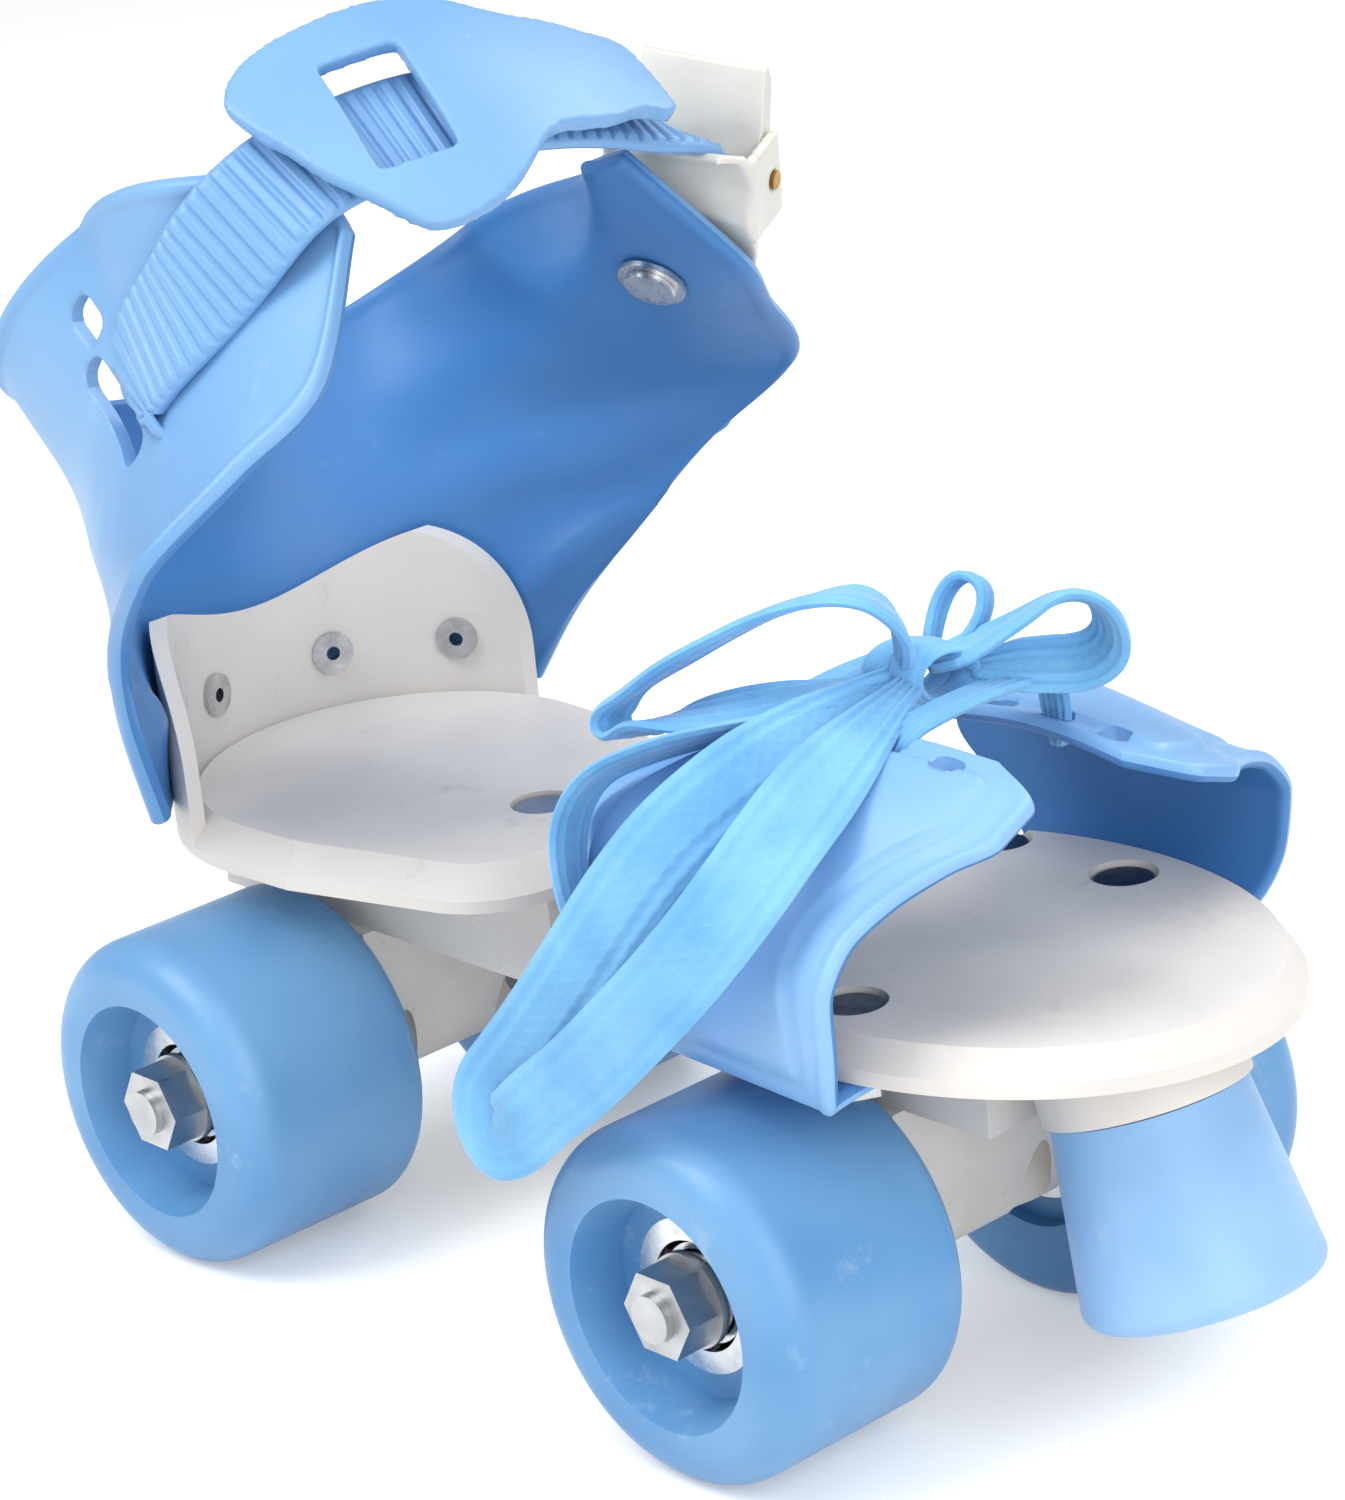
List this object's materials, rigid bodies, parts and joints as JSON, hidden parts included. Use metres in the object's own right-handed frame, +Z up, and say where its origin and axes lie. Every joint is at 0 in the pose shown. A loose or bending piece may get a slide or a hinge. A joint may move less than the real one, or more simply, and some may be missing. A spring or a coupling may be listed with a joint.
{
  "type": "clip-on roller skate",
  "caption": "Adjustable clip-on roller skate: heel and toe plates on a slide bar, blue wheels, flared heel cup, ribbed ankle strap with lever buckle, laced toe strap and toe stop.",
  "frame": {"origin": "on the heel plate's bed, on the centre line, straight above the rear axle", "axes": "+X from heel to toe along the skate, +Y to the wearer's left, +Z up from the bed"},
  "size_m": [0.2588, 0.1478, 0.2171],
  "materials": {
    "wheel_plastic": "satin",
    "housing_plastic": "satin",
    "plate_plastic": "satin",
    "zinc_steel": "brushed",
    "bearing_steel": "polished",
    "rivet_steel": "polished",
    "stop_plastic": "satin",
    "brass_insert": "satin",
    "dark_screw": "satin",
    "cup_vinyl": "satin",
    "strap_vinyl": "satin",
    "buckle_plastic": "gloss",
    "lace_fabric": "woven"
  },
  "bodies": {
    "heel": {"heel_plate": "plate_plastic", "counter_rivets": "rivet_steel", "clamp_bolt": "zinc_steel", "clamp_washer": "zinc_steel", "heel_cup": "cup_vinyl", "ladder_strap": "strap_vinyl", "strap_pad": "strap_vinyl", "buckle_base": "buckle_plastic", "buckle_pin": "brass_insert", "buckle_washer": "rivet_steel", "buckle_rivet": "rivet_steel", "rear_axle_housing": "housing_plastic", "rear_housing_screws": "zinc_steel", "rear_axle": "zinc_steel", "rear_axle_spacers": "zinc_steel", "rear_inner_races": "bearing_steel", "rear_axle_washers": "zinc_steel", "rear_axle_nuts": "zinc_steel"},
    "toe": {"toe_plate": "plate_plastic", "slide_bar": "plate_plastic", "toe_stop": "stop_plastic", "toe_stop_bolt": "zinc_steel", "toe_stop_insert": "brass_insert", "toe_strap_screws": "dark_screw", "toe_strap_nuts": "zinc_steel", "toe_strap_washers": "zinc_steel", "toe_strap_right": "strap_vinyl", "toe_strap_left": "strap_vinyl", "lace_long_loop": "lace_fabric", "lace_left_loop": "lace_fabric", "lace_right_loop": "lace_fabric", "lace_small_loop": "lace_fabric", "lace_knot": "lace_fabric", "lace_crossings": "lace_fabric", "front_axle_housing": "housing_plastic", "front_housing_screws": "zinc_steel", "front_axle": "zinc_steel", "front_axle_spacers": "zinc_steel", "front_inner_races": "bearing_steel", "front_axle_washers": "zinc_steel", "front_axle_nuts": "zinc_steel"},
    "wing_nut": {"wing_nut": "zinc_steel"},
    "buckle_lever": {"buckle_lever": "buckle_plastic"},
    "rear_right_wheel": {"rear_right_wheel": "wheel_plastic", "rear_right_outer_races": "bearing_steel", "rear_right_ball_cages": "bearing_steel"},
    "rear_left_wheel": {"rear_left_wheel": "wheel_plastic", "rear_left_outer_races": "bearing_steel", "rear_left_ball_cages": "bearing_steel"},
    "front_right_wheel": {"front_right_wheel": "wheel_plastic", "front_right_outer_races": "bearing_steel", "front_right_ball_cages": "bearing_steel"},
    "front_left_wheel": {"front_left_wheel": "wheel_plastic", "front_left_outer_races": "bearing_steel", "front_left_ball_cages": "bearing_steel"}
  },
  "joints": [
    {"name": "length_slide", "type": "slide", "parent": "heel", "child": "toe", "axis": [1, 0, 0], "range_m": [-0.022, 0.03]},
    {"name": "rear_right_spin", "type": "hinge", "parent": "heel", "child": "rear_right_wheel", "pos_m": [0, -0.0416, -0.047], "axis": [0, 1, 0], "continuous": true},
    {"name": "rear_left_spin", "type": "hinge", "parent": "heel", "child": "rear_left_wheel", "pos_m": [0, 0.0416, -0.047], "axis": [0, 1, 0], "continuous": true},
    {"name": "front_right_spin", "type": "hinge", "parent": "toe", "child": "front_right_wheel", "pos_m": [0.1306, -0.0416, -0.047], "axis": [0, 1, 0], "continuous": true},
    {"name": "front_left_spin", "type": "hinge", "parent": "toe", "child": "front_left_wheel", "pos_m": [0.1306, 0.0416, -0.047], "axis": [0, 1, 0], "continuous": true},
    {"name": "wing_nut_turn", "type": "hinge", "parent": "heel", "child": "wing_nut", "pos_m": [0.0427, 0, -0.03], "axis": [0, 0, 1], "continuous": true},
    {"name": "buckle_lever_turn", "type": "hinge", "parent": "heel", "child": "buckle_lever", "pos_m": [0.04391, 0.04923, 0.10137], "axis": [-0.9114, -0.3744, 0.171], "range_deg": [0, 70]}
  ]
}
